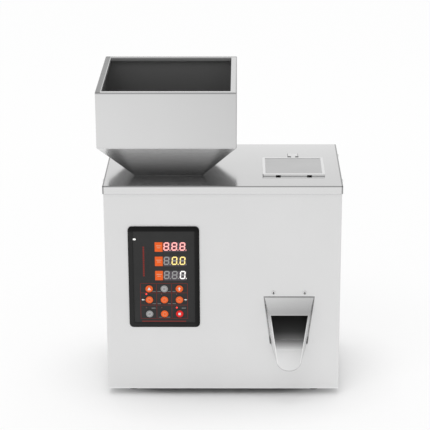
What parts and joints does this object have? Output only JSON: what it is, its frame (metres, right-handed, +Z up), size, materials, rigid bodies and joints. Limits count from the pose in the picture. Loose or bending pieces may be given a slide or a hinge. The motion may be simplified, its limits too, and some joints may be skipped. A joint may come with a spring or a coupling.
{
  "type": "powder filler",
  "caption": "Bench-top powder filler: steel casing, offset square hopper, vibrating feeder, weigh bucket, round-tipped spout, hinged hatch and key panel.",
  "frame": {"origin": "on the bench, under the centre of the casing", "axes": "+X to the right seen from the front, +Y to the back, +Z up; the spout and panel face -Y"},
  "size_m": [0.3501, 0.2364, 0.465],
  "materials": {
    "casing_steel": "satin",
    "polished_steel": "polished",
    "hopper_steel": "satin",
    "lid_steel": "satin",
    "hinge_steel": "satin",
    "inner_steel": "satin",
    "spout_steel": "satin",
    "screw_steel": "bright",
    "core_steel": "matt",
    "base_iron": "matt",
    "cast_aluminium": "matt",
    "supply_aluminium": "matt",
    "spring_glass_fibre": "matt",
    "coil_resin": "gloss",
    "motor_plastic": "matt",
    "knob_plastic": "matt",
    "foot_rubber": "matt",
    "bezel_black": "satin",
    "overlay_black": "satin",
    "display_black": "gloss",
    "lamp_clear": "gloss",
    "board_green": "satin",
    "socket_black": "matt",
    "rocker_black": "satin",
    "socket_metal": "bright",
    "key_orange": "satin",
    "key_grey": "satin",
    "key_red": "satin"
  },
  "bodies": {
    "casing": {"base_pan": "casing_steel", "casing_wrap": "casing_steel", "back_panel": "casing_steel", "top_cover": "polished_steel", "hopper": "hopper_steel", "lid_hinge_leaf": "hinge_steel", "lid_hinge_pin": "hinge_steel", "feed_chute": "inner_steel", "chute_studs": "screw_steel", "leaf_springs": "spring_glass_fibre", "base_spring_clamps": "screw_steel", "base_clamp_bolts": "screw_steel", "feeder_base": "base_iron", "magnet_core": "core_steel", "magnet_coil": "coil_resin", "feeder_stand": "inner_steel", "isolation_mounts": "foot_rubber", "power_supply": "supply_aluminium", "load_cell": "cast_aluminium", "load_cell_bracket": "inner_steel", "load_cell_bolts": "screw_steel", "bucket_hanger": "inner_steel", "weigh_bucket": "inner_steel", "flap_pin": "screw_steel", "gate_motor": "motor_plastic", "motor_bracket": "inner_steel", "discharge_funnel": "inner_steel", "outlet_spout": "spout_steel", "spout_screws": "screw_steel", "rubber_feet": "foot_rubber", "foot_fasteners": "screw_steel", "casing_screws": "screw_steel", "panel_bezel": "bezel_black", "panel_overlay": "overlay_black", "display_modules": "display_black", "indicator_lamps": "lamp_clear", "control_board": "board_green", "power_inlet": "socket_black", "switch_frame": "socket_black", "pedal_socket": "socket_metal"},
    "lid": {"access_lid": "lid_steel"},
    "flow_gate": {"flow_gate": "inner_steel", "gate_knob": "knob_plastic"},
    "feeder": {"feeder_tray": "inner_steel", "tray_bracket": "cast_aluminium", "tray_spring_clamps": "screw_steel", "tray_clamp_bolts": "screw_steel", "armature_plate": "core_steel"},
    "flap": {"bucket_flap": "inner_steel"},
    "crank": {"pusher_arm": "screw_steel"},
    "rocker": {"rocker_switch": "rocker_black"},
    "key_top_left": {"key_top_left": "key_orange"},
    "key_top_centre": {"key_top_centre": "key_grey"},
    "key_top_right": {"key_top_right": "key_orange"},
    "key_middle_left": {"key_middle_left": "key_orange"},
    "key_middle_centre": {"key_middle_centre": "key_orange"},
    "key_middle_right": {"key_middle_right": "key_orange"},
    "key_bottom_left": {"key_bottom_left": "key_grey"},
    "key_bottom_centre": {"key_bottom_centre": "key_orange"},
    "key_bottom_right": {"key_bottom_right": "key_red"}
  },
  "joints": [
    {"name": "lid_swing", "type": "hinge", "parent": "casing", "child": "lid", "pos_m": [0.1035, 0.026, 0.3282], "axis": [-1, 0, 0], "range_deg": [0, 178]},
    {"name": "gate_lift", "type": "slide", "parent": "casing", "child": "flow_gate", "axis": [0, 0, 1], "range_m": [0, 0.015]},
    {"name": "feeder_shake", "type": "slide", "parent": "casing", "child": "feeder", "axis": [0.9659, 0, 0.2588], "range_m": [-0.0008, 0.0008], "stiffness_N_per_m": 40000, "deforming": ["leaf_springs"]},
    {"name": "flap_swing", "type": "hinge", "parent": "casing", "child": "flap", "pos_m": [0.096, 0, 0.1865], "axis": [1, 0, 0], "range_deg": [0, 50]},
    {"name": "crank_turn", "type": "hinge", "parent": "casing", "child": "crank", "pos_m": [0.053, 0.03, 0.19], "axis": [-1, 0, 0], "range_deg": [0, 22.6]},
    {"name": "rocker_tip", "type": "hinge", "parent": "casing", "child": "rocker", "pos_m": [0.066, 0.096, 0.052], "axis": [-1, 0, 0], "range_deg": [0, 20]},
    {"name": "key_top_left_press", "type": "slide", "parent": "casing", "child": "key_top_left", "axis": [0, 1, 0], "range_m": [0, 0.0005], "stiffness_N_per_m": 600, "springref_m": -0.001},
    {"name": "key_top_centre_press", "type": "slide", "parent": "casing", "child": "key_top_centre", "axis": [0, 1, 0], "range_m": [0, 0.0005], "stiffness_N_per_m": 600, "springref_m": -0.001},
    {"name": "key_top_right_press", "type": "slide", "parent": "casing", "child": "key_top_right", "axis": [0, 1, 0], "range_m": [0, 0.0005], "stiffness_N_per_m": 600, "springref_m": -0.001},
    {"name": "key_middle_left_press", "type": "slide", "parent": "casing", "child": "key_middle_left", "axis": [0, 1, 0], "range_m": [0, 0.0005], "stiffness_N_per_m": 600, "springref_m": -0.001},
    {"name": "key_middle_centre_press", "type": "slide", "parent": "casing", "child": "key_middle_centre", "axis": [0, 1, 0], "range_m": [0, 0.0005], "stiffness_N_per_m": 600, "springref_m": -0.001},
    {"name": "key_middle_right_press", "type": "slide", "parent": "casing", "child": "key_middle_right", "axis": [0, 1, 0], "range_m": [0, 0.0005], "stiffness_N_per_m": 600, "springref_m": -0.001},
    {"name": "key_bottom_left_press", "type": "slide", "parent": "casing", "child": "key_bottom_left", "axis": [0, 1, 0], "range_m": [0, 0.0005], "stiffness_N_per_m": 600, "springref_m": -0.001},
    {"name": "key_bottom_centre_press", "type": "slide", "parent": "casing", "child": "key_bottom_centre", "axis": [0, 1, 0], "range_m": [0, 0.0005], "stiffness_N_per_m": 600, "springref_m": -0.001},
    {"name": "key_bottom_right_press", "type": "slide", "parent": "casing", "child": "key_bottom_right", "axis": [0, 1, 0], "range_m": [0, 0.0005], "stiffness_N_per_m": 600, "springref_m": -0.001}
  ],
  "couplings": [
    {"joint": "crank_turn", "follows": "flap_swing", "ratio": 0.45}
  ]
}
